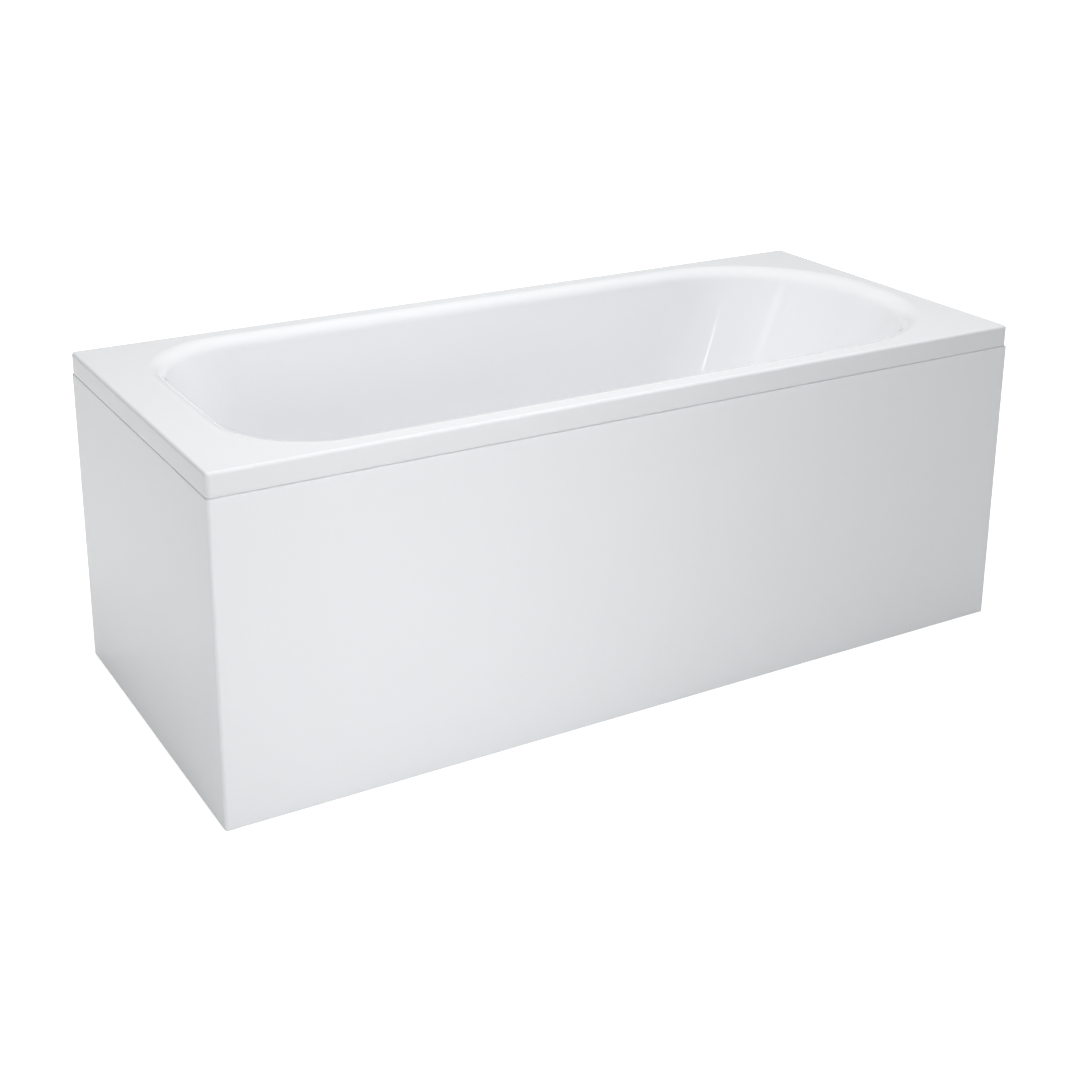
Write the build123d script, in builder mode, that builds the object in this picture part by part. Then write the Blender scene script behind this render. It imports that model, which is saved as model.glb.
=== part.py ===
from build123d import *
import os
from math import cos, pi, radians, sin, sqrt, tan

# A straight acrylic bath for the corner of a room, with one L-shaped panel that closes its
# front and its foot end. Millimetres, +Z up. The origin is on the floor under the middle of
# the rim, +X points from the foot (waste) end to the head end and +Y from the front to the
# wall. The back and the head end stand against the two walls and have no panel.

# Bath overall
bath_length = 1600.0
bath_width = 700.0
skin = 5.0
skirt_height = 40.0
rim_corner_radius = 8.0
rim_edge_radius = 6.0
skirt_edge_radius = 2.0

# Basin: height of its floor, depth, deck widths, and the lip radius, slope and heel radius of
# each wall. The rim stands at the floor's height plus the depth.
basin_floor_height = 180.0
basin_depth = 420.0
deck_foot = 81.0
deck_head = 27.0
deck_side = 33.0
foot_lip_radius = 27.0
foot_slope = 10.0
foot_heel_radius = 80.0
foot_corner_radius = 180.0
head_lip_radius = 45.0
head_slope = 28.0
head_heel_radius = 140.0
head_flat = 48.0
side_lip_radius = 27.0
side_slope = 11.0
side_heel_radius = 70.0
lip_zone = 45.0
heel_zone = 165.0
lip_sections = 8
wall_sections = 3
heel_sections = 12

# Encapsulated floor board and timber battens under the deck
board_thickness = 15.0
board_margin = 14.0
board_waste_radius = 44.0
batten_width = 18.0
batten_height = 28.0
batten_inset = 14.0
batten_end_gap = 100.0

# Panel
panel_thickness = 4.0
panel_gap = 2.0
panel_return = 24.0
panel_bend_radius = 6.0
panel_edge_radius = 3.0
panel_batten_thickness = 18.0
panel_batten_height = 60.0
panel_batten_lift = 5.0

# Sheet-steel brackets
sheet = 2.0
panel_bracket_width = 40.0
panel_bracket_reach = 18.0
front_bracket_spacing = 550.0
foot_bracket_spacing = 360.0
wall_bracket_width = 60.0
wall_bracket_spacing = 900.0
wall_bracket_drop = 70.0
wall_bracket_hook = 20.0
hook_clearance = 1.5
wall_hole_radius = 3.25
wall_hole_spacing = 36.0

# Cross rails, feet and their nuts
rail_width = 40.0
rail_height = 30.0
rail_overhang = 25.0
foot_rail_setback = 105.0
head_rail_setback = 108.0
leg_reach = 80.0
rod_radius = 5.0
rod_bottom = 12.0
rod_rise = 35.0
running_clearance = 0.05
nut_flats = 17.0
nut_height = 8.0
pad_radius = 28.0
pad_rim_height = 6.0
pad_height = 32.0
pad_neck_radius = 10.0

# Screws
screw_radius = 2.0
screw_head_radius = 4.0
screw_head_height = 2.5
screw_length = 14.0
screw_clearance = 0.5

# Waste in the floor
waste_setback = 70.0
waste_hole_radius = 27.0
waste_recess_radius = 36.0
waste_recess_depth = 2.0
waste_flange_radius = 35.0
waste_flange_thickness = 3.0
waste_cup_radius = 24.5
waste_cup_wall = 2.0
waste_cup_depth = 30.0
strainer_thickness = 4.0
strainer_hub_radius = 7.0
strainer_spoke = 3.5
seal_thickness = 3.0
body_flange_radius = 38.0
body_flange_thickness = 5.0
body_radius = 29.0
body_drop = 57.0
thread_radius = 23.5
thread_length = 18.0
thread_bore = 20.0
fit_gap = 0.2

# Plug that the waste lets rise
plug_radius = 31.0
plug_dome = 4.0
plug_edge = 1.2
plug_seal_radius = 27.0
plug_seal_bore = 17.0
plug_seal_thickness = 2.0
plug_rest_gap = 0.3
stem_radius = 3.0
stem_length = 46.0

# Overflow in the foot wall, with the turning knob that works the plug
overflow_depth = 78.0
overflow_hole_radius = 29.0
overflow_seat_radius = 41.0
overflow_seat_depth = 0.5
grate_radius = 36.0
grate_thickness = 3.0
grate_hole_radius = 4.0
grate_hole_circle = 14.5
grate_hole_count = 6
grate_screw_circle = 24.0
housing_flange_radius = 40.0
housing_flange_thickness = 4.0
housing_radius = 31.5
housing_wall = 3.0
housing_depth = 42.0
screw_boss_radius = 5.0
bearing_radius = 8.0
bearing_length = 12.0
spindle_radius = 4.0
crank_radius = 14.0
crank_thickness = 5.0
crank_pin_radius = 2.0
crank_pin_circle = 10.0
knob_radius = 35.0
knob_gap = 4.0
knob_depth = 13.0
knob_wall = 3.0
knob_edge_radius = 4.0
knob_hub_radius = 9.0
grip_width = 12.0
grip_height = 11.0

# Overflow pipe and its nuts
pipe_radius = 16.0
pipe_wall = 1.8
pipe_bend_radius = 60.0
pipe_drop = 35.0
socket_wall = 3.0
socket_length = 26.0
pipe_nut_radius = 24.0
pipe_nut_length = 16.0
port_length = 66.0

# Pull cable from the knob to the waste
cable_radius = 2.5
cable_boss_radius = 5.5
cable_boss_length = 18.0
cable_seat = 8.0
cable_gap = 0.1
cable_y = 30.0
cable_port_drop = 44.0
cable_port_reach = 46.0

# Trap under the waste
trap_radius = 45.0
trap_wall = 2.5
trap_bottom = 10.0
trap_neck = 14.0
dip_gap = 10.0
dip_radius = 23.0
neck_radius = 27.0
collar_radius = 30.0
collar_height = 4.0
washer_thickness = 2.0
trap_nut_radius = 35.0
trap_nut_lap = 14.0
outlet_pipe_radius = 20.0
outlet_drop = 26.0
outlet_reach = 92.0
outlet_nut_radius = 28.0
outlet_nut_length = 18.0
nut_grips = 12
nut_grip_radius = 2.5

# Values that follow from the sizes above
bath_height = basin_floor_height + basin_depth
half_length = bath_length / 2
half_width = bath_width / 2
floor_z = basin_floor_height
under_floor = floor_z - skin
under_deck = bath_height - skin
skirt_bottom = bath_height - skirt_height
board_bottom = under_floor - board_thickness
panel_top = skirt_bottom - panel_gap


def keep(builder, name):
    """Labels a finished piece and writes its file."""
    builder.part.label = name
    export_step(builder.part, f"parts/{name}.step")


def inset(depth, lip, slope, heel, grow):
    """How far a basin wall has come in at a depth: lip arc, straight slope, heel arc.

    grow is 0 on the wet face and the skin's thickness on the back, which is the same
    curve moved out by that much."""
    lean = radians(slope)
    run = (basin_depth - heel - lip + (lip + heel) * sin(lean)) / cos(lean)
    heel_end = lip * cos(lean) + run * sin(lean) + heel * cos(lean)
    heel_centre = basin_depth - heel
    if depth <= lip - (lip - grow) * sin(lean):
        return sqrt(max((lip - grow) ** 2 - (lip - depth) ** 2, 0))
    if depth <= heel_centre + (heel + grow) * sin(lean):
        straight = depth - lip + (lip - grow) * sin(lean)
        return (lip - grow) * cos(lean) + straight * tan(lean)
    return heel_end - sqrt(max((heel + grow) ** 2 - (depth - heel_centre) ** 2, 0))


def foot_inset(depth, grow=0.0):
    return inset(depth, foot_lip_radius, foot_slope, foot_heel_radius, grow)


def head_inset(depth, grow=0.0):
    return inset(depth, head_lip_radius, head_slope, head_heel_radius, grow)


def side_inset(depth, grow=0.0):
    return inset(depth, side_lip_radius, side_slope, side_heel_radius, grow)


def basin_outline(depth, grow):
    """The basin's outline at a depth: square-ish at the foot, nearly a half round at the head."""
    side = side_inset(depth, grow)
    left = deck_foot - half_length + foot_inset(depth, grow)
    right = half_length - deck_head - head_inset(depth, grow)
    half = half_width - deck_side - side
    foot_corner = min(foot_corner_radius - side / 2, half - 1)
    head_corner = half - head_flat / 2
    with BuildLine() as loop:
        Line((left + foot_corner, -half), (right - head_corner, -half))
        CenterArc((right - head_corner, head_corner - half), head_corner, -90, 90)
        Line((right, head_corner - half), (right, half - head_corner))
        CenterArc((right - head_corner, half - head_corner), head_corner, 0, 90)
        Line((right - head_corner, half), (left + foot_corner, half))
        CenterArc((left + foot_corner, half - foot_corner), foot_corner, 90, 90)
        Line((left, half - foot_corner), (left, foot_corner - half))
        CenterArc((left + foot_corner, foot_corner - half), foot_corner, 180, 90)
    return loop.edges()


def section_depths(grow):
    """Depths of the loft's sections, close together where the lip and the heel turn."""
    top = [grow + lip_zone * (1 - cos(pi / 2 * i / lip_sections)) for i in range(lip_sections + 1)]
    low = basin_depth + grow
    heel = [low - heel_zone * (1 - cos(pi / 2 * i / heel_sections)) for i in range(heel_sections + 1)]
    step = (heel[-1] - top[-1]) / wall_sections
    middle = [top[-1] + step * i for i in range(1, wall_sections)]
    return top + middle + heel[::-1]


def basin_form(grow):
    """The basin as a solid, grown by the skin for its back face."""
    with BuildPart() as form:
        for depth in section_depths(grow):
            with BuildSketch(Plane.XY.offset(bath_height - depth)):
                make_face(basin_outline(depth, grow))
        loft()
    return form.part


def edge_plane(x, y, inward):
    """An upright plane across an edge of the bath: local x runs inward, local y up."""
    along = Vector(*inward).cross(Vector(0, 0, 1))
    return Plane(origin=(x, y, 0), x_dir=inward, z_dir=along)


# The waste stands a set distance in from the end of the flat floor, and the overflow on the
# middle of the foot wall, square to its slope.
floor_start = deck_foot - half_length + foot_inset(basin_depth)
floor_end = half_length - deck_head - head_inset(basin_depth)
floor_half = half_width - deck_side - side_inset(basin_depth)
waste_x = floor_start + waste_setback
foot_rail_x = waste_x + foot_rail_setback
head_rail_x = floor_end - head_rail_setback
leg_y = floor_half + leg_reach
overflow_x = deck_foot - half_length + foot_inset(overflow_depth)
overflow_z = bath_height - overflow_depth
overflow_lean = radians(foot_slope)
wall_plane = Plane(
    origin=(overflow_x, 0, overflow_z), x_dir=(0, 1, 0), z_dir=(cos(overflow_lean), 0, sin(overflow_lean))
)

os.makedirs("parts", exist_ok=True)

# Bath shell: a deck with a skirt all round and the basin hung in it, one even skin
with BuildPart() as bath_shell:
    with BuildSketch(Plane.XY.offset(skirt_bottom)):
        RectangleRounded(bath_length, bath_width, rim_corner_radius)
    extrude(amount=skirt_height)
    with BuildSketch(Plane.XY.offset(skirt_bottom)):
        RectangleRounded(bath_length - 2 * skin, bath_width - 2 * skin, rim_corner_radius - skin)
    extrude(amount=skirt_height - skin, mode=Mode.SUBTRACT)
    add(basin_form(skin))
    add(basin_form(0.0), mode=Mode.SUBTRACT)
    deck_face = bath_shell.faces().filter_by(Plane.XY).sort_by(Axis.Z)[-1]
    fillet(deck_face.outer_wire().edges(), rim_edge_radius)
    level_faces = bath_shell.faces().filter_by(Plane.XY)
    skirt_foot = [face for face in level_faces if abs(face.center().Z - skirt_bottom) < skin / 2][0]
    fillet(skirt_foot.outer_wire().edges(), skirt_edge_radius)
    with BuildSketch(Plane.XY.offset(floor_z)):
        with Locations((waste_x, 0)):
            Circle(waste_recess_radius)
    extrude(amount=-waste_recess_depth, mode=Mode.SUBTRACT)
    with BuildSketch(Plane.XY.offset(floor_z)):
        with Locations((waste_x, 0)):
            Circle(waste_hole_radius)
    extrude(amount=-2 * skin, mode=Mode.SUBTRACT)
    with BuildSketch(wall_plane.offset(-overflow_seat_depth)):
        Circle(overflow_seat_radius)
    extrude(amount=skin, mode=Mode.SUBTRACT)
    with BuildSketch(wall_plane.offset(overflow_seat_depth - skin)):
        Circle(overflow_seat_radius)
    extrude(amount=-skin, mode=Mode.SUBTRACT)
    with BuildSketch(wall_plane):
        Circle(overflow_hole_radius)
    extrude(amount=-2 * skin, mode=Mode.SUBTRACT)
keep(bath_shell, "bath_shell")

# Floor board, bonded under the flat of the basin's floor
rail_screw_y = floor_half - 3 * board_margin
rail_screws_at = [
    (rail_x + side * rail_width / 4, way * rail_screw_y)
    for rail_x in (foot_rail_x, head_rail_x)
    for side in (-1, 1)
    for way in (-1, 1)
]
with BuildPart() as floor_board:
    with BuildSketch(Plane.XY.offset(board_bottom)):
        with Locations(((floor_start + floor_end) / 2, 0)):
            RectangleRounded(
                floor_end - floor_start - 2 * board_margin, 2 * (floor_half - board_margin), foot_heel_radius
            )
        with Locations((waste_x, 0)):
            Circle(board_waste_radius, mode=Mode.SUBTRACT)
    extrude(amount=board_thickness)
    with BuildSketch(Plane.XY.offset(board_bottom)):
        with Locations(rail_screws_at):
            Circle(screw_radius + running_clearance)
    extrude(amount=screw_length - sheet, mode=Mode.SUBTRACT)
keep(floor_board, "floor_board")

# Timber battens under the deck, with holes for the panel bracket screws
bracket_xs = (-front_bracket_spacing, 0, front_bracket_spacing)
bracket_ys = (-foot_bracket_spacing / 2, foot_bracket_spacing / 2)
screw_u = batten_inset + batten_width / 2
front_screws = [(x, screw_u - half_width) for x in bracket_xs]
foot_screws = [(screw_u - half_length, y) for y in bracket_ys]


def rim_batten(name, centre, size, screws):
    """A straight batten bonded to the underside of the deck."""
    with BuildPart() as batten:
        with BuildSketch(Plane.XY.offset(under_deck - batten_height)):
            with Locations(centre):
                Rectangle(*size)
        extrude(amount=batten_height)
        if screws:
            with BuildSketch(Plane.XY.offset(under_deck - batten_height)):
                with Locations(screws):
                    Circle(screw_radius + running_clearance)
            extrude(amount=screw_length - sheet, mode=Mode.SUBTRACT)
    keep(batten, name)


long_batten = (bath_length - 2 * batten_end_gap, batten_width)
short_batten = (batten_width, bath_width - 2 * batten_end_gap)
rim_batten("rim_batten_front", (0, screw_u - half_width), long_batten, front_screws)
rim_batten("rim_batten_back", (0, half_width - screw_u), long_batten, [])
rim_batten("rim_batten_foot", (screw_u - half_length, 0), short_batten, foot_screws)

# L-shaped panel: one sheet bent round the corner, its top folded in under the skirt
with BuildPart() as l_panel:
    for width, low in ((panel_thickness, 0.0), (panel_return, panel_top - panel_thickness)):
        with BuildSketch(Plane.XY.offset(low)):
            Rectangle(bath_length, bath_width)
            with Locations((width, width)):
                Rectangle(bath_length, bath_width, mode=Mode.SUBTRACT)
        extrude(amount=panel_top - low)
    bend = l_panel.edges().filter_by(Axis.Z).group_by(Axis.X)[0].sort_by(Axis.Y)[0]
    fillet(bend, panel_bend_radius)
    top_edges = l_panel.faces().sort_by(Axis.Z)[-1].outer_wire().edges()
    outer_edges = [
        edge
        for edge in top_edges
        if edge.center().Y < panel_bend_radius - half_width
        or edge.center().X < panel_bend_radius - half_length
    ]
    fillet(outer_edges, panel_edge_radius)
keep(l_panel, "l_panel")

# Battens glued behind the foot of the panel
with BuildPart() as panel_batten_front:
    with BuildSketch(Plane.XY.offset(panel_batten_lift)):
        with Locations((panel_thickness / 2, panel_thickness + panel_batten_thickness / 2 - half_width)):
            Rectangle(bath_length - panel_thickness, panel_batten_thickness)
    extrude(amount=panel_batten_height)
keep(panel_batten_front, "panel_batten_front")

end_batten_start = panel_thickness + panel_batten_thickness - half_width
with BuildPart() as panel_batten_foot:
    with BuildSketch(Plane.XY.offset(panel_batten_lift)):
        with Locations(
            (panel_thickness + panel_batten_thickness / 2 - half_length, (end_batten_start + half_width) / 2)
        ):
            Rectangle(panel_batten_thickness, half_width - end_batten_start)
    extrude(amount=panel_batten_height)
keep(panel_batten_foot, "panel_batten_foot")


def panel_bracket(name, x, y, inward):
    """A cranked steel bracket: its upper leg is screwed up into the batten, and the panel's
    folded top rests on its lower leg."""
    upper = under_deck - batten_height
    lower = panel_top - panel_thickness
    web = batten_inset + batten_width
    with BuildPart() as bracket:
        with BuildSketch(edge_plane(x, y, inward)):
            with BuildLine():
                Polyline(
                    (batten_inset, upper),
                    (web + sheet, upper),
                    (web + sheet, lower - sheet),
                    (web - panel_bracket_reach, lower - sheet),
                    (web - panel_bracket_reach, lower),
                    (web, lower),
                    (web, upper - sheet),
                    (batten_inset, upper - sheet),
                    close=True,
                )
            make_face()
        extrude(amount=panel_bracket_width / 2, both=True)
        hole_plane = Plane(origin=(x, y, upper), x_dir=inward, z_dir=(0, 0, 1))
        with BuildSketch(hole_plane):
            with Locations((screw_u, 0)):
                Circle(screw_radius + screw_clearance)
        extrude(amount=-sheet, mode=Mode.SUBTRACT)
    keep(bracket, name)


for number, x in enumerate(bracket_xs, start=1):
    panel_bracket(f"panel_bracket_front_{number}", x, -half_width, (0, 1, 0))
for number, y in enumerate(bracket_ys, start=1):
    panel_bracket(f"panel_bracket_foot_{number}", -half_length, y, (1, 0, 0))


def upward_screws(name, places, head_top):
    """Pan-head screws driven upwards, all alike, their heads under a sheet."""
    with BuildPart() as screws:
        with BuildSketch(Plane.XY.offset(head_top)):
            with Locations(places):
                Circle(screw_head_radius)
        extrude(amount=-screw_head_height)
        with BuildSketch(Plane.XY.offset(head_top)):
            with Locations(places):
                Circle(screw_radius)
        extrude(amount=screw_length - screw_clearance)
        rims = screws.faces().filter_by(Plane.XY).group_by(Axis.Z)[0]
        fillet([edge for rim in rims for edge in rim.edges()], screw_head_height / 2)
    keep(screws, name)


upward_screws("panel_bracket_screws", front_screws + foot_screws, under_deck - batten_height - sheet)
upward_screws("rail_screws", rail_screws_at, board_bottom - sheet)


def wall_bracket(name, x, y, inward):
    """A steel hanger on the wall: the skirt of the rim stands in its hook."""
    hook = skin + hook_clearance
    with BuildPart() as bracket:
        with BuildSketch(edge_plane(x, y, inward)):
            with BuildLine():
                Polyline(
                    (0, skirt_bottom - wall_bracket_drop),
                    (sheet, skirt_bottom - wall_bracket_drop),
                    (sheet, skirt_bottom - sheet),
                    (hook + sheet, skirt_bottom - sheet),
                    (hook + sheet, skirt_bottom + wall_bracket_hook),
                    (hook, skirt_bottom + wall_bracket_hook),
                    (hook, skirt_bottom),
                    (0, skirt_bottom),
                    close=True,
                )
            make_face()
        extrude(amount=wall_bracket_width / 2, both=True)
        middle = (x, y, skirt_bottom - wall_bracket_drop / 2)
        face_plane = Plane(origin=middle, z_dir=inward, x_dir=(0, 0, 1))
        with BuildSketch(face_plane):
            with GridLocations(0, wall_hole_spacing, 1, 2):
                Circle(wall_hole_radius)
        extrude(amount=sheet, mode=Mode.SUBTRACT)
    keep(bracket, name)


wall_bracket("wall_bracket_back_foot", -wall_bracket_spacing / 2, half_width, (0, -1, 0))
wall_bracket("wall_bracket_back_head", wall_bracket_spacing / 2, half_width, (0, -1, 0))
wall_bracket("wall_bracket_head", half_length, 0, (-1, 0, 0))


def cross_rail(name, rail_x):
    """A channel bent from sheet, open below, with a threaded foot rod at each end."""
    with BuildPart() as rail:
        with BuildSketch(Plane.XZ):
            with Locations((rail_x, board_bottom - rail_height / 2)):
                Rectangle(rail_width, rail_height)
            with Locations((rail_x, board_bottom - sheet - rail_height / 2)):
                Rectangle(rail_width - 2 * sheet, rail_height, mode=Mode.SUBTRACT)
        extrude(amount=leg_y + rail_overhang, both=True)
        screws = [place for place in rail_screws_at if abs(place[0] - rail_x) < rail_width]
        with BuildSketch(Plane.XY.offset(board_bottom)):
            with Locations(screws):
                Circle(screw_radius + screw_clearance)
            with Locations((rail_x, -leg_y), (rail_x, leg_y)):
                Circle(rod_radius + screw_clearance)
        extrude(amount=-sheet, mode=Mode.SUBTRACT)
    keep(rail, name)


cross_rail("cross_rail_foot", foot_rail_x)
cross_rail("cross_rail_head", head_rail_x)

leg_places = {
    "front_foot": (foot_rail_x, -leg_y),
    "front_head": (head_rail_x, -leg_y),
    "back_foot": (foot_rail_x, leg_y),
    "back_head": (head_rail_x, leg_y),
}

# One nut under and one nut on each end of the rails
for name, low in (("rail_nuts", board_bottom - sheet - nut_height), ("lock_nuts", board_bottom)):
    with BuildPart() as nuts:
        with BuildSketch(Plane.XY.offset(low)):
            with Locations(list(leg_places.values())):
                RegularPolygon(nut_flats / 2, 6, major_radius=False)
                Circle(rod_radius + running_clearance, mode=Mode.SUBTRACT)
        extrude(amount=nut_height)
    keep(nuts, name)

# Adjustable feet: a threaded rod in a plastic pad
for place, (leg_x, y) in leg_places.items():
    with BuildPart() as leg_rod:
        with BuildSketch(Plane.XY.offset(rod_bottom)):
            with Locations((leg_x, y)):
                Circle(rod_radius)
        extrude(amount=board_bottom + rod_rise - rod_bottom)
        chamfer(leg_rod.edges().group_by(Axis.Z)[-1], rod_radius / 5)
    keep(leg_rod, f"leg_rod_{place}")
    with BuildPart() as foot_pad:
        with BuildSketch(Plane(origin=(leg_x, y, 0), x_dir=(1, 0, 0), z_dir=(0, -1, 0))):
            with BuildLine():
                Polyline((0, pad_height), (0, 0), (pad_radius, 0), (pad_radius, pad_rim_height))
                Line((pad_radius, pad_rim_height), (pad_neck_radius, rod_bottom + pad_rim_height))
                Line((pad_neck_radius, rod_bottom + pad_rim_height), (pad_neck_radius, pad_height))
                Line((pad_neck_radius, pad_height), (0, pad_height))
            make_face()
        revolve(axis=Axis((leg_x, y, 0), (0, 0, 1)))
        with BuildSketch(Plane.XY.offset(pad_height)):
            with Locations((leg_x, y)):
                Circle(rod_radius + running_clearance)
        extrude(amount=rod_bottom - pad_height, mode=Mode.SUBTRACT)
    keep(foot_pad, f"foot_pad_{place}")

# Waste flange: the plated ring and cup seen in the floor, with a strainer cross
waste_seat = floor_z - waste_recess_depth
flange_top = waste_seat + waste_flange_thickness
cup_bottom = floor_z - waste_cup_depth
with BuildPart() as waste_flange:
    with BuildSketch(Plane.XY.offset(waste_seat)):
        with Locations((waste_x, 0)):
            Circle(waste_flange_radius)
    extrude(amount=waste_flange_thickness)
    chamfer(waste_flange.edges().group_by(Axis.Z)[-1], waste_flange_thickness / 2)
    with BuildSketch(Plane.XY.offset(waste_seat)):
        with Locations((waste_x, 0)):
            Circle(waste_cup_radius)
    extrude(amount=cup_bottom - waste_seat)
    with BuildSketch(Plane.XY.offset(cup_bottom)):
        with Locations((waste_x, 0)):
            Circle(waste_cup_radius - waste_cup_wall)
    extrude(amount=flange_top - cup_bottom, mode=Mode.SUBTRACT)
    with BuildSketch(Plane.XY.offset(cup_bottom)):
        with Locations((waste_x, 0)):
            Rectangle(2 * waste_cup_radius - waste_cup_wall, strainer_spoke)
            Rectangle(strainer_spoke, 2 * waste_cup_radius - waste_cup_wall)
            Circle(strainer_hub_radius)
            Circle(stem_radius + running_clearance, mode=Mode.SUBTRACT)
    extrude(amount=strainer_thickness)
keep(waste_flange, "waste_flange")

with BuildPart() as waste_seal:
    with BuildSketch(Plane.XY.offset(under_floor - seal_thickness)):
        with Locations((waste_x, 0)):
            Circle(body_flange_radius)
            Circle(waste_hole_radius, mode=Mode.SUBTRACT)
    extrude(amount=seal_thickness)
keep(waste_seal, "waste_seal")

# Waste body: the plastic tee under the floor, with the overflow port and the cable boss
body_top = under_floor - seal_thickness
body_bottom = under_floor - body_drop
thread_bottom = body_bottom - thread_length
pipe_height = under_floor - pipe_drop
cable_port_height = under_floor - cable_port_drop
port_end = waste_x - port_length
port_plane = Plane(origin=(waste_x, 0, pipe_height), x_dir=(0, 1, 0), z_dir=(-1, 0, 0))
cable_port_plane = Plane(origin=(waste_x, 0, cable_port_height), x_dir=(1, 0, 0), z_dir=(0, 1, 0))
with BuildPart() as waste_body:
    for radius, low, high in (
        (body_flange_radius, body_top - body_flange_thickness, body_top),
        (body_radius, body_bottom, body_top),
        (thread_radius, thread_bottom, body_bottom),
    ):
        with BuildSketch(Plane.XY.offset(low)):
            with Locations((waste_x, 0)):
                Circle(radius)
        extrude(amount=high - low)
    with BuildSketch(port_plane):
        Circle(pipe_radius + socket_wall)
    extrude(amount=port_length)
    with BuildSketch(cable_port_plane):
        Circle(cable_boss_radius)
    extrude(amount=cable_port_reach)
    with BuildSketch(Plane.XY.offset(thread_bottom)):
        with Locations((waste_x, 0)):
            Circle(thread_bore)
    extrude(amount=body_top - thread_bottom, mode=Mode.SUBTRACT)
    with BuildSketch(Plane.XY.offset(body_top)):
        with Locations((waste_x, 0)):
            Circle(waste_cup_radius + fit_gap)
    extrude(amount=body_bottom + socket_wall - body_top, mode=Mode.SUBTRACT)
    with BuildSketch(port_plane):
        Circle(pipe_radius - pipe_wall)
    extrude(amount=port_length, mode=Mode.SUBTRACT)
    with BuildSketch(port_plane.offset(port_length - socket_length)):
        Circle(pipe_radius + fit_gap)
    extrude(amount=socket_length, mode=Mode.SUBTRACT)
    with BuildSketch(cable_port_plane.offset(cable_port_reach)):
        Circle(cable_radius + cable_gap)
    extrude(amount=-cable_seat, mode=Mode.SUBTRACT)
keep(waste_body, "waste_body")

# Plug: domed cap, its seal and the stem that the strainer's hub guides
seal_bottom = flange_top + plug_rest_gap
cap_bottom = seal_bottom + plug_seal_thickness
dome_radius = (plug_radius**2 + plug_dome**2) / (2 * plug_dome)
dome_middle = plug_edge + plug_dome - dome_radius + sqrt(dome_radius**2 - plug_radius**2 / 4)
with BuildPart() as plug_cap:
    with BuildSketch(Plane(origin=(waste_x, 0, cap_bottom), x_dir=(1, 0, 0), z_dir=(0, -1, 0))):
        with BuildLine():
            Line((0, plug_edge + plug_dome), (0, 0))
            Line((0, 0), (plug_radius, 0))
            Line((plug_radius, 0), (plug_radius, plug_edge))
            half_way = (plug_radius / 2, dome_middle)
            ThreePointArc((plug_radius, plug_edge), half_way, (0, plug_edge + plug_dome))
        make_face()
    revolve(axis=Axis((waste_x, 0, 0), (0, 0, 1)))
keep(plug_cap, "plug_cap")

with BuildPart() as plug_seal:
    with BuildSketch(Plane.XY.offset(seal_bottom)):
        with Locations((waste_x, 0)):
            Circle(plug_seal_radius)
            Circle(plug_seal_bore, mode=Mode.SUBTRACT)
    extrude(amount=plug_seal_thickness)
keep(plug_seal, "plug_seal")

with BuildPart() as plug_stem:
    with BuildSketch(Plane.XY.offset(cap_bottom)):
        with Locations((waste_x, 0)):
            Circle(stem_radius)
    extrude(amount=-stem_length)
    chamfer(plug_stem.edges().group_by(Axis.Z)[0], stem_radius / 3)
keep(plug_stem, "plug_stem")

# Overflow: grate inside, seal and housing outside, all square to the foot wall
grate_back = wall_plane.offset(-overflow_seat_depth)
grate_front = wall_plane.offset(grate_thickness - overflow_seat_depth)
seal_front = wall_plane.offset(overflow_seat_depth - skin)
housing_front = wall_plane.offset(overflow_seat_depth - skin - seal_thickness)
housing_back = wall_plane.offset(overflow_seat_depth - skin - seal_thickness - housing_depth)
screw_pair = [(-grate_screw_circle, 0), (grate_screw_circle, 0)]

with BuildPart() as overflow_grate:
    with BuildSketch(grate_back):
        Circle(grate_radius)
        Circle(spindle_radius + screw_clearance, mode=Mode.SUBTRACT)
        with PolarLocations(grate_hole_circle, grate_hole_count):
            Circle(grate_hole_radius, mode=Mode.SUBTRACT)
        with Locations(screw_pair):
            Circle(screw_radius + screw_clearance, mode=Mode.SUBTRACT)
    extrude(amount=grate_thickness)
keep(overflow_grate, "overflow_grate")

with BuildPart() as overflow_seal:
    with BuildSketch(seal_front):
        Circle(housing_flange_radius)
        Circle(overflow_hole_radius, mode=Mode.SUBTRACT)
    extrude(amount=-seal_thickness)
keep(overflow_seal, "overflow_seal")

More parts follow.
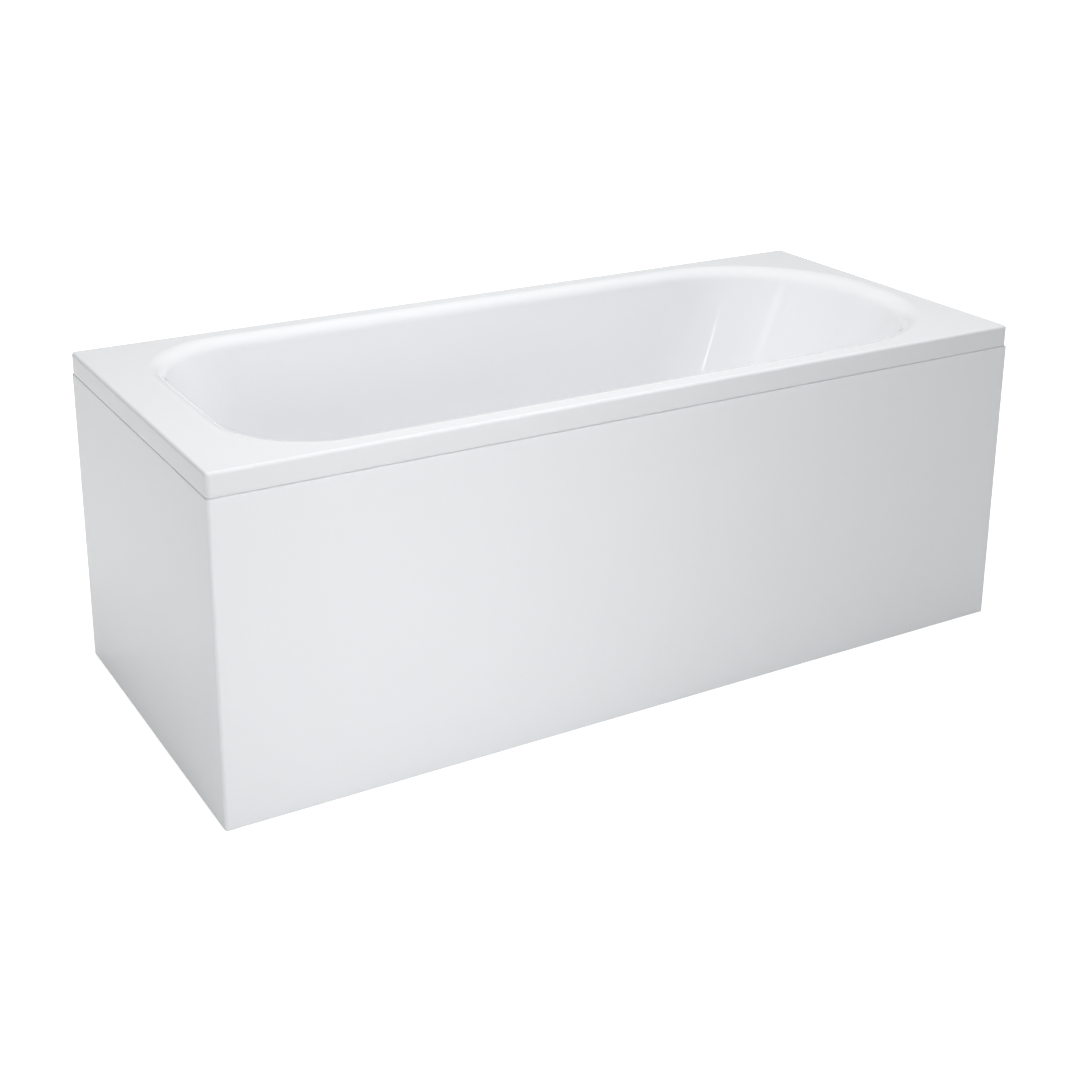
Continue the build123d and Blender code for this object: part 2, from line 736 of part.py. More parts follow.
# The pipe hangs straight down from the middle of the housing
housing_middle = housing_front.offset(-housing_depth / 2).origin
pipe_x = housing_middle.X
housing_z = housing_middle.Z
socket_top = housing_z - housing_radius
socket_bottom = socket_top - socket_length
cable_boss_bottom = socket_top - cable_boss_length
housing_bore = housing_radius - housing_wall
with BuildPart() as overflow_housing:
    with BuildSketch(housing_front):
        Circle(housing_flange_radius)
    extrude(amount=-housing_flange_thickness)
    with BuildSketch(housing_front):
        Circle(housing_radius)
    extrude(amount=-housing_depth)
    with BuildSketch(Plane.XY.offset(socket_bottom)):
        with Locations((pipe_x, 0)):
            Circle(pipe_radius + socket_wall)
    extrude(amount=housing_z - socket_bottom)
    with BuildSketch(Plane.XY.offset(cable_boss_bottom)):
        with Locations((pipe_x, cable_y)):
            Circle(cable_boss_radius)
    extrude(amount=housing_z - cable_boss_bottom)
    with BuildSketch(housing_front):
        Circle(housing_bore)
    extrude(amount=housing_wall - housing_depth, mode=Mode.SUBTRACT)
    with BuildSketch(Plane.XY.offset(socket_bottom)):
        with Locations((pipe_x, 0)):
            Circle(pipe_radius - pipe_wall)
    extrude(amount=housing_z - socket_bottom, mode=Mode.SUBTRACT)
    with BuildSketch(Plane.XY.offset(socket_bottom)):
        with Locations((pipe_x, 0)):
            Circle(pipe_radius + fit_gap)
    extrude(amount=socket_length - socket_wall, mode=Mode.SUBTRACT)
    with BuildSketch(Plane.XY.offset(cable_boss_bottom)):
        with Locations((pipe_x, cable_y)):
            Circle(cable_radius + cable_gap)
    extrude(amount=cable_seat, mode=Mode.SUBTRACT)
    with BuildSketch(housing_back.offset(housing_wall)):
        Circle(bearing_radius)
        Circle(spindle_radius + running_clearance, mode=Mode.SUBTRACT)
    extrude(amount=bearing_length)
    with BuildSketch(housing_front):
        with Locations(screw_pair):
            Circle(screw_boss_radius)
            Circle(screw_radius + running_clearance, mode=Mode.SUBTRACT)
    extrude(amount=-housing_depth / 2)
keep(overflow_housing, "overflow_housing")

overflow_screw_length = grate_thickness + skin + seal_thickness + screw_length
with BuildPart() as overflow_screws:
    with BuildSketch(grate_front):
        with Locations(screw_pair):
            Circle(screw_head_radius)
    extrude(amount=screw_head_height)
    with BuildSketch(grate_front):
        with Locations(screw_pair):
            Circle(screw_radius)
    extrude(amount=-overflow_screw_length)
keep(overflow_screws, "overflow_screws")

# Knob: a hollow plated disc with a grip bar, on a spindle with a crank for the cable
knob_back = grate_front.offset(knob_gap)
knob_front = knob_back.offset(knob_depth)
with BuildPart() as overflow_knob:
    with BuildSketch(knob_back):
        Circle(knob_radius)
    extrude(amount=knob_depth)
    knob_face = overflow_knob.faces().sort_by(Axis(knob_back.origin, knob_back.z_dir))[-1]
    fillet(knob_face.edges(), knob_edge_radius)
    with BuildSketch(knob_back):
        Circle(knob_radius - knob_wall)
    extrude(amount=knob_depth - knob_wall, mode=Mode.SUBTRACT)
    with BuildSketch(knob_back):
        Circle(knob_hub_radius)
    extrude(amount=knob_depth - knob_wall)
    with BuildSketch(knob_front.offset(-knob_edge_radius)):
        RectangleRounded(grip_width, 2 * knob_radius - grip_width, grip_width / 2 - fit_gap)
    extrude(amount=knob_edge_radius + grip_height, taper=6)
    grip_top = overflow_knob.faces().sort_by(Axis(knob_back.origin, knob_back.z_dir))[-1]
    fillet(grip_top.edges(), knob_edge_radius / 2)
    with BuildSketch(knob_back):
        Circle(spindle_radius + running_clearance)
    extrude(amount=knob_depth - knob_wall, mode=Mode.SUBTRACT)
keep(overflow_knob, "overflow_knob")

spindle_start = housing_back.offset(housing_wall + screw_clearance)
spindle_end = knob_back.offset(knob_depth - knob_wall - screw_clearance)
spindle_length = (spindle_end.origin - spindle_start.origin).length
with BuildPart() as knob_spindle:
    with BuildSketch(spindle_start):
        Circle(spindle_radius)
    extrude(amount=spindle_length)
    with BuildSketch(spindle_start.offset(bearing_length + 2 * crank_pin_radius)):
        Circle(crank_radius)
    extrude(amount=crank_thickness)
    with BuildSketch(spindle_start.offset(bearing_length + 2 * crank_pin_radius)):
        with Locations((crank_pin_circle, 0)):
            Circle(crank_pin_radius)
    extrude(amount=-2 * crank_pin_radius)
keep(knob_spindle, "knob_spindle")

# Overflow pipe, from the housing's socket down and round into the waste body's port
pipe_top = socket_bottom + socket_length - 2 * socket_wall
pipe_end = port_end + socket_length - socket_wall
with BuildPart() as overflow_pipe:
    with BuildLine():
        FilletPolyline(
            (pipe_x, 0, pipe_top),
            (pipe_x, 0, pipe_height),
            (pipe_end, 0, pipe_height),
            radius=pipe_bend_radius,
        )
    with BuildSketch(Plane.XY.offset(pipe_top)):
        with Locations((pipe_x, 0)):
            Circle(pipe_radius)
            Circle(pipe_radius - pipe_wall, mode=Mode.SUBTRACT)
    sweep()
keep(overflow_pipe, "overflow_pipe")


def union_nut(name, plane, radius, bore, length):
    """A plastic compression nut with finger grips round it, face to face with its socket."""
    with BuildPart() as nut:
        with BuildSketch(plane):
            Circle(radius)
            with PolarLocations(radius, nut_grips):
                Circle(nut_grip_radius, mode=Mode.SUBTRACT)
            Circle(bore, mode=Mode.SUBTRACT)
        extrude(amount=length)
    keep(nut, name)


pipe_bore = pipe_radius + fit_gap
socket_end_plane = Plane(origin=(pipe_x, 0, socket_bottom), x_dir=(1, 0, 0), z_dir=(0, 0, -1))
union_nut("pipe_nut_top", socket_end_plane, pipe_nut_radius, pipe_bore, pipe_nut_length)
union_nut("pipe_nut_bottom", port_plane.offset(port_length), pipe_nut_radius, pipe_bore, pipe_nut_length)

# Pull cable: hangs from the housing, swings out behind the pipe and runs in to the waste body
cable_start_z = cable_boss_bottom + cable_seat - cable_gap
cable_points = [
    (pipe_x, cable_y, cable_start_z),
    (pipe_x, cable_y, 418.0),
    (pipe_x + 2, cable_y + 10, 352.0),
    (pipe_x + 6, cable_y + 30, 288.0),
    (pipe_x + 14, cable_y + 54, 226.0),
    (pipe_x + 36, cable_y + 72, 170.0),
    (pipe_x + 80, cable_y + 84, 136.0),
    (waste_x - 74, cable_y + 88, 124.0),
    (waste_x - 26, cable_y + 80, 126.0),
    (waste_x, cable_y + 52, cable_port_height),
    (waste_x, cable_port_reach - cable_seat + cable_gap, cable_port_height),
]


def corner_radii(points):
    """The largest arc at each corner that two runs have room for: 0.45 of the shorter run."""
    radii = []
    for before, here, after in zip(points, points[1:], points[2:]):
        run_in = Vector(*here) - Vector(*before)
        run_out = Vector(*after) - Vector(*here)
        turn = radians(run_in.get_angle(run_out))
        radii.append(0.45 * min(run_in.length, run_out.length) / tan(turn / 2))
    return radii


cable_radii = corner_radii(cable_points)
with BuildPart() as pull_cable:
    with BuildLine() as cable_path:
        FilletPolyline(*cable_points, radius=cable_radii)
    with BuildSketch(Plane.XY.offset(cable_start_z)):
        with Locations((pipe_x, cable_y)):
            Circle(cable_radius)
    sweep()
keep(pull_cable, "pull_cable")
cable_length = sum(edge.length for edge in cable_path.edges())
print("cable radii", [round(radius) for radius in cable_radii], "length", round(cable_length))
straight_volume = pi * cable_radius**2 * cable_length
print("cable volume", round(pull_cable.part.volume), "section x length", round(straight_volume))

# Trap: a pot with a dip tube, hung from the waste body by a union nut
collar_top = thread_bottom - washer_thickness
trap_top = collar_top - trap_neck
dip_bottom = trap_bottom + dip_gap
outlet_height = trap_top - outlet_drop
with BuildPart() as trap_body:
    for radius, low, high in (
        (trap_radius, trap_bottom, trap_top),
        (neck_radius, trap_top, collar_top),
        (collar_radius, collar_top - collar_height, collar_top),
    ):
        with BuildSketch(Plane.XY.offset(low)):
            with Locations((waste_x, 0)):
                Circle(radius)
        extrude(amount=high - low)
    fillet(trap_body.edges().group_by(Axis.Z)[0], trap_wall)
    outlet_plane = Plane(origin=(waste_x, 0, outlet_height), x_dir=(1, 0, 0), z_dir=(0, 1, 0))
    with BuildSketch(outlet_plane):
        Circle(outlet_pipe_radius + fit_gap + socket_wall)
    extrude(amount=outlet_reach)
    with BuildSketch(Plane.XY.offset(trap_bottom + trap_wall)):
        with Locations((waste_x, 0)):
            Circle(trap_radius - trap_wall)
    extrude(amount=trap_top - trap_bottom - 2 * trap_wall, mode=Mode.SUBTRACT)
    with BuildSketch(outlet_plane.offset(outlet_reach - socket_length)):
        Circle(outlet_pipe_radius + fit_gap)
    extrude(amount=socket_length, mode=Mode.SUBTRACT)
    with BuildSketch(outlet_plane.offset(dip_radius)):
        Circle(outlet_pipe_radius - pipe_wall)
    extrude(amount=outlet_reach - dip_radius, mode=Mode.SUBTRACT)
    with BuildSketch(Plane.XY.offset(dip_bottom)):
        with Locations((waste_x, 0)):
            Circle(dip_radius)
    extrude(amount=trap_top - dip_bottom)
    with BuildSketch(Plane.XY.offset(dip_bottom)):
        with Locations((waste_x, 0)):
            Circle(thread_bore)
    extrude(amount=collar_top - dip_bottom, mode=Mode.SUBTRACT)
keep(trap_body, "trap_body")

with BuildPart() as trap_washer:
    with BuildSketch(Plane.XY.offset(collar_top)):
        with Locations((waste_x, 0)):
            Circle(collar_radius)
            Circle(thread_bore, mode=Mode.SUBTRACT)
    extrude(amount=washer_thickness)
keep(trap_washer, "trap_washer")

collar_bottom = collar_top - collar_height
with BuildPart() as trap_nut:
    with BuildSketch(Plane.XY.offset(collar_bottom - collar_height)):
        with Locations((waste_x, 0)):
            Circle(trap_nut_radius)
            with PolarLocations(trap_nut_radius, nut_grips):
                Circle(nut_grip_radius, mode=Mode.SUBTRACT)
    extrude(amount=thread_bottom + trap_nut_lap - collar_bottom + collar_height)
    for bore, low, high in (
        (neck_radius, collar_bottom - collar_height, collar_bottom),
        (collar_radius, collar_bottom, thread_bottom),
        (thread_radius, thread_bottom, thread_bottom + trap_nut_lap),
    ):
        with BuildSketch(Plane.XY.offset(low)):
            with Locations((waste_x, 0)):
                Circle(bore + fit_gap)
        extrude(amount=high - low, mode=Mode.SUBTRACT)
keep(trap_nut, "trap_nut")

outlet_bore = outlet_pipe_radius + screw_clearance + fit_gap
union_nut("outlet_nut", outlet_plane.offset(outlet_reach), outlet_nut_radius, outlet_bore, outlet_nut_length)
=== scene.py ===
# %% [markdown]
# # A white acrylic bath for the corner of a room
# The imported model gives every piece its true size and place. This file dresses it: it builds the
# glossy forms as fine surfaces from a few formulas, and gives every piece a finish made of nodes.

# %% Load the frame
from math import cos, pi, radians, sin, tan

import bmesh
import bpy
import numpy as np
from mathutils import Matrix, Vector


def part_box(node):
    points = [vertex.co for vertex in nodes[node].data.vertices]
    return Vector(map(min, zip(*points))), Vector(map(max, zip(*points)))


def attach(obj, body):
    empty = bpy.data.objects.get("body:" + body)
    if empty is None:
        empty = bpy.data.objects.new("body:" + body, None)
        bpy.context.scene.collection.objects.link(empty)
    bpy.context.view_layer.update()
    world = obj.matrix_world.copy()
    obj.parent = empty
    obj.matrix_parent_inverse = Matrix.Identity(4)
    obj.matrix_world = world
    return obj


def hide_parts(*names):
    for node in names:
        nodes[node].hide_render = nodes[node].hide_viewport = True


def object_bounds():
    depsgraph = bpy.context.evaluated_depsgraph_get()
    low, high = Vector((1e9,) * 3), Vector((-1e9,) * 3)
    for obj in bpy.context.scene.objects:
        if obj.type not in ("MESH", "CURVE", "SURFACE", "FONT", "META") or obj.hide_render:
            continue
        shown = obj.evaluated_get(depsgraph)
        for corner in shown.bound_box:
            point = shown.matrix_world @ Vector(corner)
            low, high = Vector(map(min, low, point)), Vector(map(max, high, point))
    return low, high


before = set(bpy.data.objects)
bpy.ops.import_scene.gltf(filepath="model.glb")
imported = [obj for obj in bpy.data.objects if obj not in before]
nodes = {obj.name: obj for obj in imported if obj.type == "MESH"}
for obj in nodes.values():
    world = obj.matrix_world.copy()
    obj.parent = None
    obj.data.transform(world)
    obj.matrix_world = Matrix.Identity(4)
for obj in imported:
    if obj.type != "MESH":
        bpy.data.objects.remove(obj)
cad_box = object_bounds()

print("CAD box", cad_box)

# %% [markdown]
# ## Camera
# The photograph is taken from the front left, a little above the rim. The place, turn and focal
# length below were solved from the corners of the rim and of the panel. The lens is moved down a
# little, as on a view camera, so that the upright edges lean less.

# %% Camera
mm = 0.001
picture_pixels = 1080.0
sensor_mm = 36.0
camera_place = Vector((-1563.0, -2608.0, 1505.0)) * mm
camera_yaw, camera_pitch, camera_roll = radians(30.46), radians(17.92), radians(0.37)
focal_pixels = 1714.0
lens_fall = 0.15

forward = Vector(
    (sin(camera_yaw) * cos(camera_pitch), cos(camera_yaw) * cos(camera_pitch), -sin(camera_pitch))
)
level_right = Vector((cos(camera_yaw), -sin(camera_yaw), 0.0))
level_up = level_right.cross(forward)
camera_data = bpy.data.cameras.new("camera")
camera_data.sensor_width = sensor_mm
camera_data.lens = focal_pixels / picture_pixels * sensor_mm
camera_data.shift_y = -lens_fall
camera = bpy.data.objects.new("camera", camera_data)
bpy.context.scene.collection.objects.link(camera)
right = cos(camera_roll) * level_right + sin(camera_roll) * level_up
up = cos(camera_roll) * level_up - sin(camera_roll) * level_right
turn = Matrix((right, up, -forward)).transposed().to_4x4()
camera.matrix_world = Matrix.Translation(camera_place) @ turn
bpy.context.scene.camera = camera
print("lens", round(camera_data.lens, 2), "mm")

# %% [markdown]
# ## Words for materials
# Every finish here is a small tree of nodes, in each piece's own Object coordinates, so that it
# stays on the piece when the piece moves. These helpers are the words it is written in.

# %% Node helpers
def new_material(name):
    """An empty node material with its output, its Principled shader and Object coordinates."""
    material = bpy.data.materials.new(name)
    material.use_nodes = True
    tree = material.node_tree
    shader = tree.nodes["Principled BSDF"]
    place = tree.nodes.new("ShaderNodeTexCoord").outputs["Object"]
    return material, tree, shader, place


def set_inputs(node, **values):
    """Sets a node's sockets by name, with underscores for spaces."""
    for key, value in values.items():
        node.inputs[key.replace("_", " ")].default_value = value
    return node


def noise(tree, place, scale, detail=2.0, roughness=0.5):
    """A noise texture on a place vector, about 0 to 1."""
    texture = tree.nodes.new("ShaderNodeTexNoise")
    set_inputs(texture, Scale=scale, Detail=detail, Roughness=roughness)
    tree.links.new(place, texture.inputs["Vector"])
    return texture.outputs["Fac"]


def spread(tree, value, low, high, reach=1.0):
    """Maps 0..reach to low..high."""
    node = tree.nodes.new("ShaderNodeMapRange")
    set_inputs(node, From_Max=reach, To_Min=low, To_Max=high)
    tree.links.new(value, node.inputs["Value"])
    return node.outputs["Result"]


def stretched(tree, place, scale, turn=(0.0, 0.0, 0.0), shift=(0.0, 0.0, 0.0)):
    """A place vector, scaled, then turned, then shifted."""
    node = tree.nodes.new("ShaderNodeMapping")
    set_inputs(node, Scale=scale, Rotation=turn, Location=shift)
    tree.links.new(place, node.inputs["Vector"])
    return node.outputs["Vector"]


def combine(tree, operation, first, second):
    """A maths node of two sockets, or of a socket and a number."""
    node = tree.nodes.new("ShaderNodeMath")
    node.operation = operation
    tree.links.new(first, node.inputs[0])
    if isinstance(second, float):
        node.inputs[1].default_value = second
    else:
        tree.links.new(second, node.inputs[1])
    return node.outputs[0]


def blend_colours(tree, factor, first, second):
    """A colour between two, by a factor."""
    node = tree.nodes.new("ShaderNodeMix")
    node.data_type = "RGBA"
    node.inputs[6].default_value = (*first, 1.0)
    node.inputs[7].default_value = (*second, 1.0)
    tree.links.new(factor, node.inputs[0])
    return node.outputs[2]


def bump(tree, shader, height, distance, strength=1.0):
    """Bumps the shader's normal by a height."""
    node = tree.nodes.new("ShaderNodeBump")
    set_inputs(node, Strength=strength, Distance=distance)
    tree.links.new(height, node.inputs["Height"])
    tree.links.new(node.outputs["Normal"], shader.inputs["Normal"])


# %% [markdown]
# ## Stage
# A catalogue picture of a white thing on white. The world is pure white to the camera and half as
# bright in reflections. The floor keeps the bath's shadow close to it, and with distance it fades
# to the same white, so that no horizon shows.

# %% Floor and world
floor_half = 30.0
floor_glow = 0.7
glow_near, glow_far = 0.9, 2.6
floor_tone = 0.8
world_strength = 0.04
mirrored_strength = 0.5

floor_mesh = bpy.data.meshes.new("studio_floor")
signs = ((-1, -1), (1, -1), (1, 1), (-1, 1))
corners = [(x * floor_half, y * floor_half, 0) for x, y in signs]
floor_mesh.from_pydata(corners, [], [(0, 1, 2, 3)])
floor = bpy.data.objects.new("studio_floor", floor_mesh)
bpy.context.scene.collection.objects.link(floor)


def seen_or_mirrored(tree):
    """1 for camera rays, less for glossy rays, 0 for the light that reaches the object."""
    path = tree.nodes.new("ShaderNodeLightPath")
    mirrored = spread(tree, path.outputs["Is Glossy Ray"], 0.0, mirrored_strength)
    return combine(tree, "MAXIMUM", path.outputs["Is Camera Ray"], mirrored)


floor_material, tree, shader, place = new_material("studio_floor")
set_inputs(shader, Base_Color=(floor_tone, floor_tone, floor_tone, 1.0), Roughness=0.9)
shader.inputs["Specular IOR Level"].default_value = 0.0
shader.inputs["Emission Color"].default_value = (1.0, 1.0, 1.0, 1.0)
distance = tree.nodes.new("ShaderNodeVectorMath")
distance.operation = "LENGTH"
tree.links.new(place, distance.inputs[0])
glow = tree.nodes.new("ShaderNodeMapRange")
glow.interpolation_type = "SMOOTHSTEP"
set_inputs(glow, From_Min=glow_near, From_Max=glow_far, To_Min=floor_glow, To_Max=1.0)
tree.links.new(distance.outputs["Value"], glow.inputs["Value"])
seen_glow = combine(tree, "MULTIPLY", glow.outputs["Result"], seen_or_mirrored(tree))
tree.links.new(seen_glow, shader.inputs["Emission Strength"])
floor_mesh.materials.append(floor_material)

world = bpy.data.worlds.new("studio")
bpy.context.scene.world = world
world.use_nodes = True
backdrop = world.node_tree.nodes["Background"]
backdrop.inputs["Color"].default_value = (1.0, 1.0, 1.0, 1.0)
seen_white = spread(world.node_tree, seen_or_mirrored(world.node_tree), world_strength, 1.0)
world.node_tree.links.new(seen_white, backdrop.inputs["Strength"])
print("floor glow", floor_glow, "at", glow_near, "m, and white from", glow_far, "m")

# %% [markdown]
# ## Light
# The shape is drawn by soft grey shading. The key lamp stands high at the front left, so that the
# front panel fades towards its far end, and the others fill the deck, the basin, the two ends and
# the back. Only the last two show in reflections. They are narrow, and draw the thin bright
# streaks on the head wall.

# %% Lamps
def soft_lamp(name, place, target, size, watts, beam=180.0, mirrored=False):
    """An area lamp of a width and height at a place, facing a target, in metres; its beam is in
    degrees, and only a mirrored one shows in reflections."""
    data = bpy.data.lights.new(name, "AREA")
    data.shape = "RECTANGLE"
    data.size, data.size_y = size
    data.energy = watts
    data.spread = radians(beam)
    lamp = bpy.data.objects.new(name, data)
    lamp.location = place
    lamp.rotation_euler = (Vector(target) - Vector(place)).to_track_quat("-Z", "Y").to_euler()
    lamp.visible_glossy = mirrored
    bpy.context.scene.collection.objects.link(lamp)
    return lamp


soft_lamp("key", (-0.65, -3.2, 2.6), (-0.3, 0.0, 0.35), (1.4, 1.4), 41.5)
soft_lamp("beam", (-0.7, -3.0, 0.9), (-0.6, -0.35, 0.3), (0.9, 0.9), 1.5, beam=46.0)
soft_lamp("over", (-0.1, -0.9, 2.8), (0.1, 0.0, 0.3), (1.2, 1.2), 25.0)
soft_lamp("top", (0.3, 0.6, 3.2), (0.1, 0.0, 0.3), (2.4, 2.4), 48.0)
soft_lamp("end", (-3.0, 0.3, 1.4), (-0.6, 0.0, 0.4), (1.2, 1.2), 19.0)
soft_lamp("back", (1.2, 3.2, 1.5), (0.2, 0.3, 0.2), (1.8, 1.2), 24.0)
soft_lamp("head", (3.2, -0.4, 1.4), (0.8, 0.0, 0.3), (1.2, 1.2), 14.0)
soft_lamp("streak", (-0.31, -2.435, 1.49), (0.53, 0.24, 0.45), (0.06, 0.28), 0.35, mirrored=True)
soft_lamp("sheen", (-1.75, -0.72, 2.1), (0.64, 0.17, 0.49), (0.3, 0.8), 0.6, mirrored=True)
bpy.context.scene.view_settings.view_transform = "Standard"

# %% [markdown]
# ## Surfaces from rings
# The bath is drawn as a stack of closed rings. Every ring is a rectangle whose four corners are
# arcs, one radius at the foot and one at the head, so a ring is six numbers: left, right, half
# width, two radii and a height. A row of rings from the middle of the floor, up the wall, over
# the rim and back down behind makes the whole closed skin.

# %% Rings and grids
arc_points, long_points, short_points = 36, 40, 12


def ring_points(rows):
    """Points of rings, shape (rows, points, 3), from rows of left, right, half, foot radius,
    head radius, height. Each corner is centre + radius * (cos a, sin a) over a quarter turn, and
    the straights between corners are evenly divided."""
    rows = np.asarray(rows, float)
    left, right, half, foot, head, z = (rows[:, i : i + 1] for i in range(6))
    corners = (
        (right - head, head - half, head, -90.0, long_points),
        (right - head, half - head, head, 0.0, short_points),
        (left + foot, half - foot, foot, 90.0, long_points),
        (left + foot, foot - half, foot, 180.0, short_points),
    )
    xs, ys = [], []
    last = (left + foot, -half)
    for cx, cy, radius, start, count in corners:
        turn = np.radians(start + np.linspace(0.0, 90.0, arc_points))[None, :]
        arc_x, arc_y = cx + radius * np.cos(turn), cy + radius * np.sin(turn)
        share = np.linspace(0.0, 1.0, count + 2)[1:-1][None, :]
        xs += [last[0] + (arc_x[:, :1] - last[0]) * share, arc_x]
        ys += [last[1] + (arc_y[:, :1] - last[1]) * share, arc_y]
        last = (arc_x[:, -1:], arc_y[:, -1:])
    x, y = np.hstack(xs), np.hstack(ys)
    return np.stack([x, y, np.broadcast_to(z, x.shape)], axis=-1)


# %% [markdown]
# ## From points to a mesh
# A mesh is a list of points and a list of faces, and a face is a row of point numbers. The numbers
# of a whole grid of quads come from two index arrays. Blender decides by the order of the numbers
# which side is the outside, so a closed piece is turned outward once it is made.

# %% Meshes
def add_piece(name, points, faces, material, smooth_angle=40.0):
    """A mesh object at the origin, smooth but for edges sharper than an angle in degrees."""
    mesh = bpy.data.meshes.new(name)
    mesh.from_pydata(points.tolist(), [], faces)
    mesh.validate()
    mesh.materials.append(material)
    mesh.polygons.foreach_set("use_smooth", np.ones(len(mesh.polygons), bool))
    mesh.set_sharp_from_angle(angle=radians(smooth_angle))
    piece = bpy.data.objects.new(name, mesh)
    bpy.context.scene.collection.objects.link(piece)
    print(name, len(mesh.vertices), "points", len(mesh.polygons), "faces")
    return piece


def quads(rows, columns, first=0):
    """Quad faces of a grid whose points start at first, each row closed on itself."""
    i, j = np.meshgrid(np.arange(rows - 1), np.arange(columns), indexing="ij")
    k = (j + 1) % columns
    a, b, c, d = i * columns + j, i * columns + k, (i + 1) * columns + k, (i + 1) * columns + j
    return (np.stack([a, b, c, d], axis=-1).reshape(-1, 4) + first).tolist()


def face_outward(piece):
    """Turns a closed piece's faces outward, and prints its volume and its open edges."""
    shape = bmesh.new()
    shape.from_mesh(piece.data)
    bmesh.ops.recalc_face_normals(shape, faces=shape.faces)
    volume = shape.calc_volume(signed=True)
    if volume < 0:
        bmesh.ops.reverse_faces(shape, faces=shape.faces)
    open_edges = sum(1 for edge in shape.edges if not edge.is_manifold)
    shape.to_mesh(piece.data)
    shape.free()
    print(piece.name, "volume", round(abs(volume) * 1e6), "ml, open edges", open_edges)
    return piece


def closed_skin(name, rows, material):
    """A closed skin from rings, with a single point in the middle of the first and last ring."""
    rings = ring_points(rows)
    count, columns = rings.shape[:2]
    start, end = rings[0].mean(axis=0), rings[-1].mean(axis=0)
    points = np.vstack([start[None], rings.reshape(-1, 3), end[None]])
    faces = quads(count, columns, first=1)
    around = np.arange(columns)
    after = (around + 1) % columns
    faces += np.stack([np.zeros(columns, int), 1 + after, 1 + around], axis=-1).tolist()
    top = 1 + (count - 1) * columns
    middle = np.full(columns, top + columns)
    faces += np.stack([middle, top + around, top + after], axis=-1).tolist()
    return face_outward(add_piece(name, points, faces, material))


# %% [markdown]
# ## Sizes of the bath
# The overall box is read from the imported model. The rest are the CAD's own sizes, with two
# differences: the skirt's lower edge is rounded by 1 mm instead of 2 mm, because the photograph
# shows hardly any dark gap under it, and the CAD's one skin is divided into acrylic and backing.
# The counts say how finely the curves are drawn: closely where a lip or a heel turns, and widely
# on the plain walls.

# %% Bath sizes, in metres
low_corner, high_corner = cad_box
half_length = (high_corner[0] - low_corner[0]) / 2
half_width = (high_corner[1] - low_corner[1]) / 2
rim_top = high_corner[2]
skin = 5 * mm
acrylic = 3 * mm
backing_lap, backing_lift = 0.05 * mm, 5 * mm
skirt_height = 40 * mm
rim_corner = 8 * mm
rim_edge = 6 * mm
skirt_edge = 1 * mm
deck_foot, deck_head, deck_side = 81 * mm, 27 * mm, 33 * mm
basin_depth = 420 * mm
foot_wall = {"lip": 27 * mm, "slope": radians(10), "heel": 80 * mm}
head_wall = {"lip": 45 * mm, "slope": radians(28), "heel": 140 * mm}
side_wall = {"lip": 27 * mm, "slope": radians(11), "heel": 70 * mm}
foot_corner, head_flat = 180 * mm, 48 * mm
heel_zone, lip_zone = 165 * mm, 45 * mm
heel_rings, wall_rings, lip_rings = 40, 22, 26
floor_shares = (0.12, 0.35, 0.6, 0.8, 0.93, 0.99)
deck_shares = (0.02, 0.1, 0.5, 0.9, 0.98)
print("rim at", round(rim_top, 3), "m, basin floor at", round(rim_top - basin_depth, 3), "m")

# %% [markdown]
# ## The basin's formula
# Each wall starts with a round lip, runs down straight at its own slope and turns into the floor
# with a large heel. The same formula, moved out by a thickness, gives the back of the skin.

# %% Basin and rim
def inset(depth, grow, lip, slope, heel):
    """How far a wall has come in at a depth: lip arc, straight slope, then heel arc."""
    run = (basin_depth - heel - lip + (lip + heel) * sin(slope)) / cos(slope)
    heel_end = lip * cos(slope) + run * sin(slope) + heel * cos(slope)
    heel_centre = basin_depth - heel
    arc = np.sqrt(np.maximum((lip - grow) ** 2 - (lip - depth) ** 2, 0))
    straight = (lip - grow) * cos(slope) + (depth - lip + (lip - grow) * sin(slope)) * tan(slope)
    turn = heel_end - np.sqrt(np.maximum((heel + grow) ** 2 - (depth - heel_centre) ** 2, 0))
    lip_end = lip - (lip - grow) * sin(slope)
    heel_start = heel_centre + (heel + grow) * sin(slope)
    return np.where(depth <= lip_end, arc, np.where(depth <= heel_start, straight, turn))


def basin_rows(depth, grow):
    """Rings of the basin at an array of depths, rows as ring_points takes them."""
    side = inset(depth, grow, **side_wall)
    left = deck_foot - half_length + inset(depth, grow, **foot_wall)
    right = half_length - deck_head - inset(depth, grow, **head_wall)
    half = half_width - deck_side - side
    foot = np.minimum(foot_corner - side / 2, half - mm)
    return np.stack([left, right, half, foot, half - head_flat / 2, rim_top - depth], axis=-1)


def rim_rows(inward, height):
    """Rings of the rim: the outer rectangle moved inward, at heights."""
    inward, height = np.asarray(inward, float), np.asarray(height, float)
    radius = np.maximum(rim_corner - inward, 0.2 * mm)
    left, right, half = inward - half_length, half_length - inward, half_width - inward
    return np.stack([left, right, half, radius, radius, height], axis=-1)


def quarter(count):
    """Angles of a quarter turn."""
    return np.linspace(0.0, pi / 2, count)


# %% [markdown]
# ## From rows to a skin
# One face of the skin runs from the middle of the floor to the rim's outer edge. A skin has two
# such faces, the second one moved back, joined round the lower edge of the skirt.

